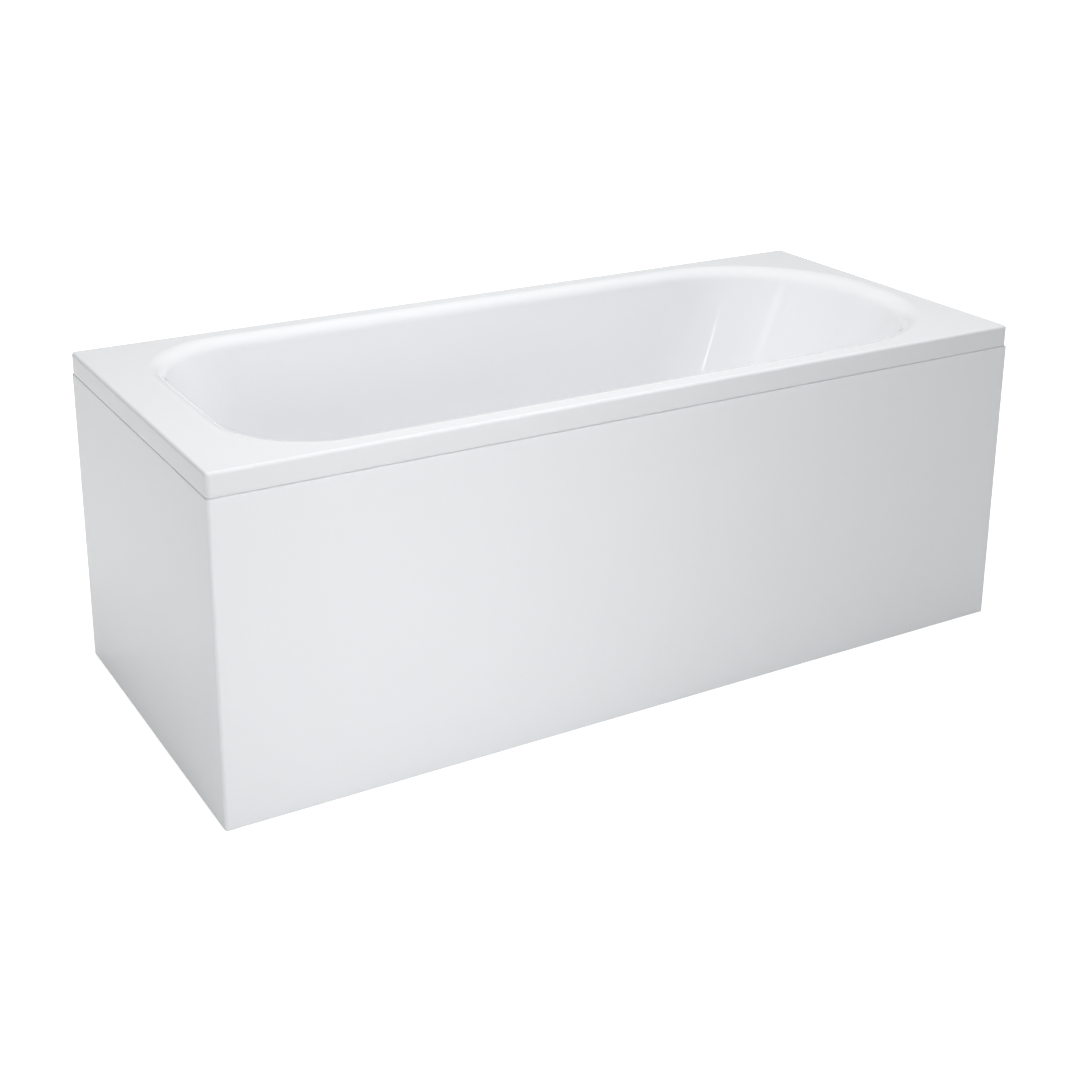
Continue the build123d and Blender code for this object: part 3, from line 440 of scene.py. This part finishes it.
# %% Skin
def face_rows(grow):
    """Rings of one face of the skin, from the middle of the floor up the wall and over the rim's
    edge; grow is how far behind the wet face it lies."""
    low = basin_depth + grow
    heel = low - heel_zone * (1 - np.cos(quarter(heel_rings)))
    lip = grow + lip_zone * (1 - np.cos(quarter(lip_rings)))
    wall = np.linspace(heel[-1], lip[-1], wall_rings)[1:-1]
    basin = basin_rows(np.concatenate([heel, wall, lip[::-1]]), grow)
    floor_ring = basin[0]
    middle = (floor_ring[0] + floor_ring[1]) / 2
    floor_rings = []
    for share in floor_shares:
        ring = floor_ring * share
        ring[0] = middle + (floor_ring[0] - middle) * share
        ring[1] = middle + (floor_ring[1] - middle) * share
        ring[5] = floor_ring[5]
        floor_rings.append(ring)
    edge = max(rim_edge - grow, 0.4 * mm)
    turn = quarter(10)
    over = rim_rows(grow + edge * (1 - np.sin(turn)), rim_top - grow - edge * (1 - np.cos(turn)))
    deck = [basin[-1] + (over[0] - basin[-1]) * share for share in deck_shares]
    return np.vstack([floor_rings, basin, deck, over])


def skin_rows(front, back, foot_lift=0.0):
    """Rings of a closed skin between two distances behind the wet face, its foot rounded."""
    outside, inside = face_rows(front), face_rows(back)
    foot = rim_top - skirt_height + foot_lift
    round_foot = min(skirt_edge, (back - front) * 0.6)
    turn = quarter(6)
    down = np.linspace(outside[-1][5], foot + round_foot, 6)[1:-1]
    sides = rim_rows(np.full(down.shape, front), down)
    across, below = round_foot * (1 - np.cos(turn)), round_foot * (1 - np.sin(turn))
    bottom = rim_rows(front + across, foot + below)
    rise = np.linspace(foot, inside[-1][5], 6)[:-1]
    back_sides = rim_rows(np.full(rise.shape, back), rise)
    return np.vstack([outside, sides, bottom, back_sides, inside[::-1]])


# %% [markdown]
# ## Gloss acrylic
# Sanitary acrylic is a white plastic sheet with a hard, almost wet gloss. It isn't a mirror:
# vacuum forming leaves the faintest orange peel, and the polish drifts a little from place to
# place. A noise drives each of the three, because one fixed number would look like paint. The
# panel is the same sheet, a touch paler and cooler, and satin instead of gloss.

# %% Acrylic
def acrylic_material(name, colour, rough=(0.08, 0.11), peel=0.02 * mm):
    """White sheet acrylic: a colour that drifts by a hundredth, clear gloss, slight orange peel."""
    material, tree, shader, place = new_material(name)
    pale = tuple(min(c * 1.01, 1.0) for c in colour)
    dim = tuple(c * 0.99 for c in colour)
    drift, polish = noise(tree, place, 1.6, 1.0), noise(tree, place, 5.0, 0.0)
    tree.links.new(blend_colours(tree, drift, dim, pale), shader.inputs["Base Color"])
    tree.links.new(spread(tree, polish, *rough), shader.inputs["Roughness"])
    set_inputs(shader, IOR=1.49, Coat_Weight=0.3, Coat_Roughness=0.05, Coat_IOR=1.5)
    bump(tree, shader, noise(tree, place, 90.0), peel, 0.6)
    return material


white_acrylic = acrylic_material("white_acrylic", (0.80, 0.81, 0.825))
white_panel = acrylic_material("white_panel", (0.83, 0.845, 0.865), rough=(0.2, 0.26))
print("acrylics", white_acrylic.name, white_panel.name)

# %% [markdown]
# ## Glass fibre
# Behind the acrylic, chopped glass strands are sprayed on in resin and rolled flat. The result
# is off-white and dull, a tangle of short strands in every direction with resin runs between.
# Four long thin noises, each turned another way, stand for the strands, and the highest one shows,
# as the upper strand does where two cross.

# %% Glass fibre
glass_fibre, tree, shader, place = new_material("glass_fibre")
strand_length, strand_width = 55.0, 420.0
layers = []
for turn, scale in ((0.0, 1.0), (1.05, 1.15), (2.1, 0.9), (2.7, 1.3)):
    along, over = strand_length * scale, strand_width * scale
    laid = stretched(tree, place, (along, over, over), (turn, turn * 0.7, turn * 1.3))
    layers.append(noise(tree, laid, 1.0, 1.0))
strands = layers[0]
for layer in layers[1:]:
    strands = combine(tree, "MAXIMUM", strands, layer)
weave = spread(tree, strands, -1.1, 1.6)
resin, glass = (0.58, 0.565, 0.50), (0.80, 0.79, 0.74)
tree.links.new(blend_colours(tree, weave, resin, glass), shader.inputs["Base Color"])
tree.links.new(spread(tree, strands, 0.75, 0.35), shader.inputs["Roughness"])
bump(tree, shader, strands, 1.2 * mm, 0.9)
print("glass fibre of", len(layers), "layers")

# %% [markdown]
# ## Bath shell
# The wet face and the glass-fibre backing are two closed skins, one in the other. Each could be a
# single sheet with a Solidify modifier, but both faces come from the formula anyway, and so the
# wall keeps its thickness on every curve. The backing ends a little above the skirt's lower edge,
# as it is trimmed there.

# %% Bath shell
bath_acrylic = closed_skin("bath_acrylic", skin_rows(0.0, acrylic), white_acrylic)
backing_rows = skin_rows(acrylic - backing_lap, skin, foot_lift=backing_lift)
bath_backing = closed_skin("bath_backing", backing_rows, glass_fibre)

# %% [markdown]
# ## Holes for waste and overflow
# A hole for the waste goes through the floor and one for the overflow through the sloped foot
# wall. Round each lies a shallow recess, in which the fitting or its seal sits. A Boolean works
# between closed forms, so what is taken away is a closed drum.

# %% Drum and cut
waste_x, overflow_x, overflow_z = -485.159 * mm, -682.591 * mm, 522.0 * mm
waste_hole, waste_recess, waste_seat = 27 * mm, 36 * mm, 2 * mm
overflow_hole, overflow_recess = 29 * mm, 41 * mm
overflow_seat, overflow_back = 0.5 * mm, 4.5 * mm
through, recess = 20 * mm, 5 * mm
lean = foot_wall["slope"]


def drum(centre, axis, radius, half_depth, points=96):
    """Points and faces of a closed drum for cutting: a ring and a middle point at each end."""
    axis = np.asarray(axis, float)
    side = np.array([0.0, 1.0, 0.0])
    other = np.cross(axis, side)
    turn = np.linspace(0, 2 * pi, points, endpoint=False)[:, None]
    ring = radius * (np.cos(turn) * side + np.sin(turn) * other)
    low, high = centre - half_depth * axis, centre + half_depth * axis
    mesh_points = np.vstack([low[None], low + ring, high + ring, high[None]])
    j = np.arange(points)
    k = (j + 1) % points
    last = 2 * points + 1
    faces = np.stack([1 + j, 1 + k, 1 + points + k, 1 + points + j], -1).tolist()
    faces += np.stack([np.zeros(points, int), 1 + k, 1 + j], -1).tolist()
    faces += np.stack([np.full(points, last), 1 + points + j, 1 + points + k], -1).tolist()
    return mesh_points, faces


def cut(pieces, centre, axis, radius, half_depth):
    """Cuts a drum out of some pieces, exactly, and leaves nothing of the drum behind."""
    points, faces = drum(np.asarray(centre, float), axis, radius, half_depth)
    cutter = face_outward(add_piece("cutter", points, faces, pieces[0].data.materials[0]))
    mesh = cutter.data
    for piece in pieces:
        modifier = piece.modifiers.new("cut", "BOOLEAN")
        modifier.operation, modifier.solver, modifier.object = "DIFFERENCE", "EXACT", cutter
        bpy.context.view_layer.update()
        evaluated = piece.evaluated_get(bpy.context.evaluated_depsgraph_get())
        result = bpy.data.meshes.new_from_object(evaluated)
        piece.modifiers.clear()
        old, piece.data = piece.data, result
        bpy.data.meshes.remove(old)
        result.name = piece.name
    bpy.data.objects.remove(cutter)
    bpy.data.meshes.remove(mesh)


# %% [markdown]
# ## Cutting the bath
# Every hole goes through the acrylic and the backing, and every recess into one of them only. The
# drums stand square to the wall they cut: upright at the waste, tilted with the foot wall at the
# overflow.

# %% Holes
up_axis = (0.0, 0.0, 1.0)
wall_axis = np.array([cos(lean), 0.0, sin(lean)])
wall_middle = np.array([overflow_x, 0.0, overflow_z])
floor_height = rim_top - basin_depth
both = (bath_acrylic, bath_backing)
waste_seat_middle = (waste_x, 0.0, floor_height - waste_seat + recess)
front_middle = wall_middle + (recess - overflow_seat) * wall_axis
back_middle = wall_middle - (recess + overflow_back) * wall_axis
cut(both, (waste_x, 0.0, floor_height), up_axis, waste_hole, through)
cut((bath_acrylic,), waste_seat_middle, up_axis, waste_recess, recess)
cut(both, wall_middle, wall_axis, overflow_hole, through)
cut((bath_acrylic,), front_middle, wall_axis, overflow_recess, recess)
cut((bath_backing,), back_middle, wall_axis, overflow_recess, recess)
for piece in both:
    piece.data.polygons.foreach_set("use_smooth", np.ones(len(piece.data.polygons), bool))
    piece.data.set_sharp_from_angle(angle=radians(35))
    face_outward(piece)

# %% [markdown]
# ## Front and end panel
# One sheet is bent round the corner between front and foot end. Its profile is drawn from the
# floor up: a straight face, a small round at the top, and a fold in under the rim. The profile is
# carried along the L, so that the fold turns the corner with the face. The top is 1.2 mm higher
# than in the CAD, and the fold as much thicker, for the same narrow gap under the skirt.

# %% Panel
panel_thick, panel_top, panel_under, panel_fold = 4 * mm, 559.2 * mm, 554 * mm, 24 * mm
panel_bend, panel_edge, panel_broken = 6 * mm, 3 * mm, 0.6 * mm
side_parts, corner_parts, front_parts = 15, 13, 33


def panel_path(inward):
    """Points of the L seen from above, moved inward from the outer face: its back end first,
    then the corner, then its head end."""
    radius = max(panel_bend - inward, 0.5 * mm)
    turn = np.linspace(pi, 1.5 * pi, corner_parts)
    centre_x, centre_y = -half_length + inward + radius, -half_width + inward + radius
    side_y = np.linspace(half_width, centre_y, side_parts)[:-1]
    front_x = np.linspace(centre_x, half_length, front_parts)[1:]
    corner_x, corner_y = centre_x + radius * np.cos(turn), centre_y + radius * np.sin(turn)
    corner = np.stack([corner_x, corner_y], -1)
    side = np.stack([np.full(side_y.shape, -half_length + inward), side_y], -1)
    front = np.stack([front_x, np.full(front_x.shape, -half_width + inward)], -1)
    return np.vstack([side, corner, front])


def panel_profile():
    """Inward distance and height all round the sheet's section, outer face first."""
    low, edge = 20 * mm, panel_broken
    face = np.linspace(low, panel_top - panel_edge - 4 * mm, 16)
    rows = [(0.4 * mm, 0.0), (0.0, edge)]
    rows += [(0.0, z) for z in face]
    rows += [(panel_edge * (1 - cos(t)), panel_top - panel_edge * (1 - sin(t))) for t in quarter(9)]
    rows += [(panel_edge + 4 * mm, panel_top), (panel_fold - edge, panel_top)]
    rows += [(panel_fold, panel_top - edge), (panel_fold, panel_under + edge)]
    rows += [(panel_fold - edge, panel_under), (panel_thick + 3 * mm, panel_under)]
    rows += [(panel_thick, panel_under - 2 * mm)]
    rows += [(panel_thick, z) for z in np.linspace(panel_top - 30 * mm, low, 8)]
    return rows + [(panel_thick, edge), (panel_thick - 0.4 * mm, 0.0)]


section = panel_profile()
path = np.stack([panel_path(inward) for inward, _ in section])
heights = np.array([height for _, height in section])[:, None, None]
panel_points = np.concatenate([path, np.broadcast_to(heights, path.shape[:2] + (1,))], -1)
rows, columns = panel_points.shape[:2]
i, j = np.meshgrid(np.arange(rows), np.arange(columns - 1), indexing="ij")
k = (i + 1) % rows
here, above = i * columns + j, k * columns + j
panel_faces = np.stack([here, here + 1, above + 1, above], -1).reshape(-1, 4).tolist()
ends = np.arange(rows) * columns
panel_faces += [ends.tolist(), (ends + columns - 1)[::-1].tolist()]
panel_points = panel_points.reshape(-1, 3)
panel_skin = face_outward(add_piece("panel_skin", panel_points, panel_faces, white_panel, 30.0))

# %% [markdown]
# ## Threaded rods
# Each foot stands on a rod with a rolled thread. The thread is a surface of two parameters: the
# turn around the rod and the way along it. The radius goes up and down once in every pitch, and
# the crest moves up by one pitch in every turn, so that the ridges join into one helix.

# %% Threaded rods
rod_radius, thread_pitch, thread_depth = 5 * mm, 1.5 * mm, 0.85 * mm
end_chamfer, thread_sides, rings_per_pitch = 0.9 * mm, 24, 6


def threaded_rod(name, node, material):
    """radius = outer - depth * (0.5 - 0.5 cos(2 pi (z / pitch - turn))) ** 0.8, eased to a plain
    chamfer over the last pitch at both ends."""
    low, high = (np.array(corner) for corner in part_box(node))
    middle = (low + high) / 2
    around, steps = thread_sides, int((high[2] - low[2]) / thread_pitch * rings_per_pitch)
    z = np.linspace(low[2], high[2], steps)[:, None]
    turn = np.linspace(0, 1, around, endpoint=False)[None, :]
    wave = 0.5 - 0.5 * np.cos(2 * pi * (z / thread_pitch - turn))
    fade = np.clip(np.minimum(z - low[2], high[2] - z) / thread_pitch, 0, 1)
    radius = rod_radius - thread_depth * wave**0.8 * fade - end_chamfer * (1 - fade)
    x = middle[0] + radius * np.cos(2 * pi * turn)
    y = middle[1] + radius * np.sin(2 * pi * turn)
    points = np.stack([x, y, np.broadcast_to(z, x.shape)], -1).reshape(-1, 3)
    faces = quads(steps, around)
    end = np.arange(around)
    faces += [end[::-1].tolist(), (end + (steps - 1) * around).tolist()]
    return face_outward(add_piece(name, points, faces, material, 60.0))


# %% [markdown]
# ## Metals
# Zinc plate is pale and slightly blotched, bright steel is turned or rolled, and chrome is a
# bright mirror with a fine polishing haze. One recipe makes them all, because they differ only in
# tone, roughness and grain, and its noise is stretched where a tool has left streaks.

# %% Metals
def metal(name, dark, pale, rough, grain, stretch=(1, 1, 1), height=0.03 * mm):
    """A metal whose colour and roughness drift by a stretched noise."""
    material, tree, shader, place = new_material(name)
    laid = stretched(tree, place, stretch)
    blotch = noise(tree, laid, grain, 4.0, 0.6)
    contrast = spread(tree, blotch, -0.6, 1.6)
    tree.links.new(blend_colours(tree, contrast, dark, pale), shader.inputs["Base Color"])
    tree.links.new(spread(tree, blotch, *rough), shader.inputs["Roughness"])
    set_inputs(shader, Metallic=1.0)
    bump(tree, shader, noise(tree, laid, grain * 6, 2.0), height, 0.5)
    return material


zinc = metal("zinc_plate", (0.52, 0.54, 0.57), (0.68, 0.69, 0.70), (0.28, 0.5), 60.0)
steel_tones = (0.60, 0.60, 0.61), (0.74, 0.74, 0.73)
bright_steel = metal("bright_steel", *steel_tones, (0.28, 0.4), 30.0, stretch=(1, 1, 6))
chrome_tones = (0.80, 0.81, 0.83), (0.86, 0.87, 0.88)
chrome = metal("chrome", *chrome_tones, (0.03, 0.09), 50.0, height=0.004 * mm)
brass = metal("brass", (0.62, 0.45, 0.18), (0.75, 0.57, 0.26), (0.28, 0.42), 40.0)
print("metals", [m.name for m in (zinc, bright_steel, chrome, brass)])

# %% [markdown]
# ## Overflow knob
# The knob is a thin plated cup with a grip bar across its face. Its surface has two parameters,
# the way out from the middle and the turn. The bar is a bump on the front face: arched like a
# bow along its length, flat across its top, with sides that fall in a smooth step. The CAD's bar
# isn't arched. A bar joined to a turned cup would need its seam blended, and a bump has no seam.

# %% Knob
knob_radius, knob_rim, knob_back, knob_front = 35 * mm, 4 * mm, 6.5 * mm, 19.5 * mm
knob_wall, hub_radius, bore_radius = 3 * mm, 9 * mm, 4.15 * mm
grip_height, grip_reach, grip_flat, grip_foot = 11 * mm, 29 * mm, 3.6 * mm, 7.2 * mm
knob_columns, face_rings, knob_middle = 192, 56, 1.2 * mm
wall_side, wall_up = np.array([0.0, 1.0, 0.0]), np.array([-sin(lean), 0.0, cos(lean)])


def overflow_knob_surface():
    """Height of the bar over the face = grip_height * sqrt(1 - (u / grip_reach)^2) * step, where
    the step falls from 1 to 0 between grip_flat and grip_foot, as 3 t^2 - 2 t^3."""
    t = quarter(9)[1:]
    flat = np.linspace(knob_middle, knob_radius - knob_rim, face_rings)
    face = np.concatenate([flat, knob_radius - knob_rim * (1 - np.sin(t))])
    fall = knob_rim * (1 - np.cos(t))
    level = np.concatenate([np.full(face_rings, knob_front), knob_front - fall])
    inner = knob_front - knob_wall
    lip = 0.3 * mm
    cup = [
        (knob_radius, knob_back + lip), (knob_radius - lip, knob_back),
        (knob_radius - knob_wall + lip, knob_back), (knob_radius - knob_wall, knob_back + lip),
        (knob_radius - knob_wall, inner - mm), (knob_radius - knob_wall - mm, inner),
        (hub_radius + mm, inner), (hub_radius, inner - mm), (hub_radius, knob_back + lip),
        (hub_radius - lip, knob_back), (bore_radius + lip, knob_back),
        (bore_radius, knob_back + lip), (bore_radius, inner), (knob_middle, inner),
    ]
    radius = np.concatenate([face, [r for r, _ in cup]])[:, None]
    height = np.concatenate([level, [h for _, h in cup]])[:, None]
    turn = np.linspace(0, 2 * pi, knob_columns, endpoint=False)[None, :]
    across, along = radius * np.cos(turn), radius * np.sin(turn)
    step = np.clip((grip_foot - np.abs(across)) / (grip_foot - grip_flat), 0, 1)
    step = step**2 * (3 - 2 * step)
    arch = np.sqrt(np.clip(1 - (along / grip_reach) ** 2, 0, 1))
    front = (np.arange(len(radius)) < len(face))[:, None]
    height = height + front * grip_height * arch * step
    points = wall_middle + height[..., None] * wall_axis
    points = points + across[..., None] * wall_side + along[..., None] * wall_up
    count = len(radius)
    middles = points[[0, -1]].mean(axis=1)
    faces = quads(count, knob_columns)
    top, bottom = count * knob_columns, count * knob_columns + 1
    j = np.arange(knob_columns)
    k = (j + 1) % knob_columns
    last = (count - 1) * knob_columns
    faces += np.stack([np.full(knob_columns, top), k, j], -1).tolist()
    faces += np.stack([np.full(knob_columns, bottom), last + j, last + k], -1).tolist()
    return np.vstack([points.reshape(-1, 3), middles]), faces


knob_points, knob_faces = overflow_knob_surface()
knob_cap = face_outward(add_piece("knob_cap", knob_points, knob_faces, chrome, 35.0))

# %% [markdown]
# ## Wood
# The battens are planed softwood: pale early wood and darker late wood in long stripes. The
# board under the floor is chipboard: flat chips in several browns, pressed together. Stripes from
# a wave would be too even, so they are the level lines of a noise, and each chip is one cell of a
# Voronoi texture.

# %% Wood
early_wood, late_wood = (0.62, 0.43, 0.24), (0.42, 0.25, 0.12)
ring_step = 0.06


def timber_material(name, along):
    """Softwood: the year rings are level lines of a noise that is stretched along one axis."""
    material, tree, shader, place = new_material(name)
    figure_scale, fibre_scale = [26.0] * 3, [900.0] * 3
    figure_scale[along], fibre_scale[along] = 1.3, 20.0
    laid = stretched(tree, place, figure_scale, shift=(0.6, 0.9, 0.4))
    wave = combine(tree, "PINGPONG", noise(tree, laid, 1.0, 3.0, 0.55), ring_step)
    stripe = spread(tree, wave, 0.0, 1.0, reach=ring_step)
    tree.links.new(blend_colours(tree, stripe, early_wood, late_wood), shader.inputs["Base Color"])
    tree.links.new(spread(tree, stripe, 0.55, 0.72), shader.inputs["Roughness"])
    bump(tree, shader, noise(tree, stretched(tree, place, fibre_scale), 1.0), 0.2 * mm, 0.6)
    return material


timber_x, timber_y = timber_material("timber_long", 0), timber_material("timber_short", 1)

chipboard, tree, shader, place = new_material("chipboard")
chips = set_inputs(tree.nodes.new("ShaderNodeTexVoronoi"), Scale=1.0)
pressed = stretched(tree, place, (160.0, 260.0, 700.0))
tree.links.new(pressed, chips.inputs["Vector"])
chance = tree.nodes.new("ShaderNodeSeparateColor")
tree.links.new(chips.outputs["Color"], chance.inputs["Color"])
brown, straw = (0.30, 0.19, 0.10), (0.58, 0.42, 0.25)
chip_tone = blend_colours(tree, chance.outputs["Red"], brown, straw)
tree.links.new(chip_tone, shader.inputs["Base Color"])
tree.links.new(spread(tree, chance.outputs["Green"], 0.6, 0.85), shader.inputs["Roughness"])
bump(tree, shader, chips.outputs["Distance"], 0.6 * mm, 0.7)
print("woods", timber_x.name, timber_y.name, chipboard.name)

# %% [markdown]
# ## Plastics and rubber
# Moulded plastic has a fine spark texture, rubber is dull and patchy, and the cable's sheath
# has the finest grain. The texture is bump, because real relief so fine would cost millions of
# faces.

# %% Plastics
def plastic(name, colour, rough, grain=700.0, height=0.05 * mm, drift=0.06):
    """Moulded plastic: a colour that drifts, roughness in patches, and a fine spark texture."""
    material, tree, shader, place = new_material(name)
    dim = tuple(c * (1 - drift) for c in colour)
    pale = tuple(min(c * (1 + drift), 1.0) for c in colour)
    cloud, patches = noise(tree, place, 25.0, 3.0), noise(tree, place, 60.0, 3.0)
    tree.links.new(blend_colours(tree, cloud, dim, pale), shader.inputs["Base Color"])
    tree.links.new(spread(tree, patches, *rough), shader.inputs["Roughness"])
    bump(tree, shader, noise(tree, place, grain, 2.0), height, 0.6)
    return material


finishes = {
    "acrylic": white_acrylic,
    "panel": white_panel,
    "chipboard": chipboard,
    "timber": timber_x,
    "zinc_steel": zinc,
    "bright_steel": bright_steel,
    "chrome": chrome,
    "brass": brass,
    "rubber": plastic("rubber", (0.035, 0.035, 0.037), (0.6, 0.85), 300.0, 0.1 * mm, 0.2),
    "white_plastic": plastic("white_plastic", (0.72, 0.72, 0.70), (0.3, 0.45)),
    "grey_plastic": plastic("grey_plastic", (0.34, 0.35, 0.36), (0.38, 0.55)),
    "black_plastic": plastic("black_plastic", (0.03, 0.03, 0.032), (0.35, 0.55)),
    "cable_sheath": plastic("cable_sheath", (0.055, 0.055, 0.06), (0.4, 0.6), 1200.0, 0.1 * mm),
}

# %% [markdown]
# ## Finish every piece that stays as the CAD made it
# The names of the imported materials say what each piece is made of. Edges that a tool or a mould
# would have broken get a very small bevel, which catches the light. It is narrower on thin pieces,
# so that it never eats one up.

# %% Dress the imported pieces
new_pieces = {"bath_shell", "l_panel", "overflow_knob"}
rod_prefix = "leg_rod_"
rods = [name for name in nodes if name.startswith(rod_prefix)]
short_battens = {"rim_batten_foot", "panel_batten_foot"}
widest_bevel, bevel_share = 0.6 * mm, 0.04
for name, node in nodes.items():
    if name in new_pieces or name in rods:
        continue
    slots = node.data.materials
    for index, old in enumerate(slots):
        key = old.name.split(".")[0]
        slots[index] = timber_y if name in short_battens else finishes[key]
    low, high = (np.array(corner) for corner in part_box(name))
    bevel = node.modifiers.new("edge", "BEVEL")
    bevel.width, bevel.segments = min(widest_bevel, float((high - low).min()) * bevel_share), 2
    bevel.limit_method, bevel.angle_limit = "ANGLE", radians(35)
    bevel.use_clamp_overlap = True
print("finishes", len(finishes))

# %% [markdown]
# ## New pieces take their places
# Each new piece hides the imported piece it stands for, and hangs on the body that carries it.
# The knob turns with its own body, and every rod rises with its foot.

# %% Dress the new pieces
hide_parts("bath_shell")
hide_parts("bath_shell")
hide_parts("l_panel")
for piece, slot in ((bath_acrylic, "acrylic"), (bath_backing, "acrylic"), (panel_skin, "panel")):
    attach(piece, "root")
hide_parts("overflow_knob")
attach(knob_cap, "knob")
for node in rods:
    corner_name = node[len(rod_prefix):]
    rod = threaded_rod("thread_" + corner_name, node, bright_steel)
    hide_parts(node)
    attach(rod, "leg_" + corner_name)
